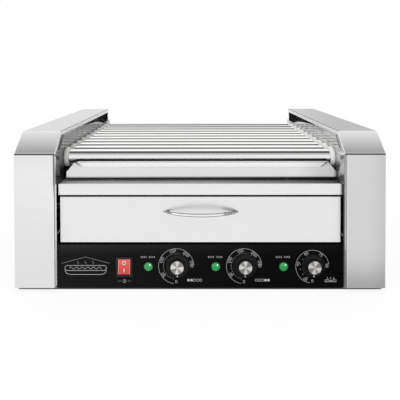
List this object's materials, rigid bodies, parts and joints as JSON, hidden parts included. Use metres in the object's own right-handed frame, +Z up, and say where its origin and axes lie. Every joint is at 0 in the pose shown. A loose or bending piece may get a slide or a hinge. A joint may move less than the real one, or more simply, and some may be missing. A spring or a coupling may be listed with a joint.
{
  "type": "hot dog roller grill",
  "caption": "Counter-top roller grill: driven heated rollers between stainless side covers, drip tray, bun drawer with bow pull, black control panel with dials.",
  "frame": {"origin": "centre of the footprint, on the counter plane under the feet", "axes": "+X to the operator's right along the rollers, -Y is the front with the control panel, +Z up"},
  "size_m": [0.58, 0.476, 0.249],
  "materials": {
    "stainless_sheet": "fine brushed stainless sheet, slightly blurred reflections",
    "polished_plate": "bright rolled stainless, near mirror with faint streaks",
    "galvanised_sheet": "galvanised sheet, dull zinc spangle",
    "roller_chrome": "polished stainless roller tube",
    "bush_plastic": "off-white heat-proof plastic",
    "panel_black": "black panel film with a fine grain and light grey printing",
    "handle_chrome": "bright chrome plating",
    "slide_zinc": "zinc-plated steel",
    "chain_steel": "oiled steel",
    "motor_housing": "grey die-cast gearbox",
    "heater_steel": "heat-tinted steel sheath",
    "thermostat_body": "ceramic-coloured moulding",
    "spindle_steel": "turned steel",
    "knob_black": "satin black moulding",
    "cap_aluminium": "spun aluminium, fine circular turning marks",
    "switch_black": "black moulding",
    "rocker_red": "translucent red moulding",
    "lamp_green": "translucent green lens",
    "terminal_plastic": "moulded plastic",
    "wire_insulation": "silicone-insulated wire",
    "cord_black": "matte black cord",
    "foot_rubber": "matte black rubber",
    "screw_steel": "plated steel"
  },
  "bodies": {
    "housing": {"base_pan": "galvanised_sheet", "cabinet_slides": "slide_zinc", "control_panel": "panel_black", "cover_screws": "screw_steel", "deck_plate": "stainless_sheet", "drawer_floor": "galvanised_sheet", "drive_chain": "chain_steel", "element_hangers": "galvanised_sheet", "gear_motor": "motor_housing", "heating_rods": "heater_steel", "lamp_bodies": "switch_black", "lamp_lenses": "lamp_green", "left_bushes": "bush_plastic", "left_cover": "stainless_sheet", "left_side_plate": "polished_plate", "motor_bracket": "galvanised_sheet", "panel_screws": "screw_steel", "power_cord": "cord_black", "power_plug": "cord_black", "rear_panel": "galvanised_sheet", "right_bushes": "bush_plastic", "right_cover": "stainless_sheet", "right_side_plate": "polished_plate", "rod_bars": "galvanised_sheet", "rubber_feet": "foot_rubber", "strain_relief": "cord_black", "switch_body": "switch_black", "terminal_block": "terminal_plastic", "thermostats": "thermostat_body", "warming_element": "heater_steel", "wiring_loom": "wire_insulation"},
    "motor_drive": {"motor_sprocket": "chain_steel"},
    "drawer": {"drawer_front": "stainless_sheet", "drawer_box": "galvanised_sheet", "drawer_handle": "handle_chrome", "handle_screws": "screw_steel", "drawer_slides": "slide_zinc"},
    "tray": {"drip_tray": "stainless_sheet"},
    "rocker": {"switch_rocker": "rocker_red"},
    "roller_01": {"roller_01": "roller_chrome"},
    "roller_02": {"roller_02": "roller_chrome"},
    "roller_03": {"roller_03": "roller_chrome"},
    "roller_04": {"roller_04": "roller_chrome"},
    "roller_05": {"roller_05": "roller_chrome"},
    "roller_06": {"roller_06": "roller_chrome"},
    "roller_07": {"roller_07": "roller_chrome"},
    "roller_08": {"roller_08": "roller_chrome"},
    "roller_09": {"roller_09": "roller_chrome"},
    "roller_10": {"roller_10": "roller_chrome"},
    "roller_11": {"roller_11": "roller_chrome"},
    "dial_1": {"knob_1": "knob_black", "knob_cap_1": "cap_aluminium", "spindle_1": "spindle_steel"},
    "dial_2": {"knob_2": "knob_black", "knob_cap_2": "cap_aluminium", "spindle_2": "spindle_steel"},
    "dial_3": {"knob_3": "knob_black", "knob_cap_3": "cap_aluminium", "spindle_3": "spindle_steel"}
  },
  "joints": [
    {"name": "roller_01_spin", "type": "hinge", "parent": "housing", "child": "roller_01", "pos_m": [0, -0.175, 0.205], "axis": [1, 0, 0], "continuous": true, "deforming": ["drive_chain"]},
    {"name": "roller_02_spin", "type": "hinge", "parent": "housing", "child": "roller_02", "pos_m": [0, -0.14, 0.205], "axis": [1, 0, 0], "continuous": true},
    {"name": "roller_03_spin", "type": "hinge", "parent": "housing", "child": "roller_03", "pos_m": [0, -0.105, 0.205], "axis": [1, 0, 0], "continuous": true},
    {"name": "roller_04_spin", "type": "hinge", "parent": "housing", "child": "roller_04", "pos_m": [0, -0.07, 0.205], "axis": [1, 0, 0], "continuous": true},
    {"name": "roller_05_spin", "type": "hinge", "parent": "housing", "child": "roller_05", "pos_m": [0, -0.035, 0.205], "axis": [1, 0, 0], "continuous": true},
    {"name": "roller_06_spin", "type": "hinge", "parent": "housing", "child": "roller_06", "pos_m": [0, 0, 0.205], "axis": [1, 0, 0], "continuous": true},
    {"name": "roller_07_spin", "type": "hinge", "parent": "housing", "child": "roller_07", "pos_m": [0, 0.035, 0.205], "axis": [1, 0, 0], "continuous": true},
    {"name": "roller_08_spin", "type": "hinge", "parent": "housing", "child": "roller_08", "pos_m": [0, 0.07, 0.205], "axis": [1, 0, 0], "continuous": true},
    {"name": "roller_09_spin", "type": "hinge", "parent": "housing", "child": "roller_09", "pos_m": [0, 0.105, 0.205], "axis": [1, 0, 0], "continuous": true},
    {"name": "roller_10_spin", "type": "hinge", "parent": "housing", "child": "roller_10", "pos_m": [0, 0.14, 0.205], "axis": [1, 0, 0], "continuous": true},
    {"name": "roller_11_spin", "type": "hinge", "parent": "housing", "child": "roller_11", "pos_m": [0, 0.175, 0.205], "axis": [1, 0, 0], "continuous": true},
    {"name": "motor_spin", "type": "hinge", "parent": "housing", "child": "motor_drive", "pos_m": [0.238, 0, 0.15738], "axis": [1, 0, 0], "continuous": true},
    {"name": "drawer_slide", "type": "slide", "parent": "housing", "child": "drawer", "axis": [0, -1, 0], "range_m": [0, 0.3]},
    {"name": "tray_slide", "type": "slide", "parent": "housing", "child": "tray", "axis": [0, -1, 0], "range_m": [0, 0.38]},
    {"name": "dial_1_turn", "type": "hinge", "parent": "housing", "child": "dial_1", "pos_m": [-0.0355, -0.2145, 0.0392], "axis": [0, 1, 0], "range_deg": [0, 270]},
    {"name": "dial_2_turn", "type": "hinge", "parent": "housing", "child": "dial_2", "pos_m": [0.0717, -0.2145, 0.0392], "axis": [0, 1, 0], "range_deg": [0, 270]},
    {"name": "dial_3_turn", "type": "hinge", "parent": "housing", "child": "dial_3", "pos_m": [0.1798, -0.2145, 0.0392], "axis": [0, 1, 0], "range_deg": [0, 270]},
    {"name": "rocker_tip", "type": "hinge", "parent": "housing", "child": "rocker", "pos_m": [-0.1195, -0.2115, 0.0375], "axis": [1, 0, 0], "range_deg": [0, 16]}
  ],
  "couplings": [
    {"joint": "roller_02_spin", "follows": "roller_01_spin", "ratio": 1},
    {"joint": "roller_03_spin", "follows": "roller_01_spin", "ratio": 1},
    {"joint": "roller_04_spin", "follows": "roller_01_spin", "ratio": 1},
    {"joint": "roller_05_spin", "follows": "roller_01_spin", "ratio": 1},
    {"joint": "roller_06_spin", "follows": "roller_01_spin", "ratio": 1},
    {"joint": "roller_07_spin", "follows": "roller_01_spin", "ratio": 1},
    {"joint": "roller_08_spin", "follows": "roller_01_spin", "ratio": 1},
    {"joint": "roller_09_spin", "follows": "roller_01_spin", "ratio": 1},
    {"joint": "roller_10_spin", "follows": "roller_01_spin", "ratio": 1},
    {"joint": "roller_11_spin", "follows": "roller_01_spin", "ratio": 1},
    {"joint": "motor_spin", "follows": "roller_01_spin", "ratio": 1}
  ]
}
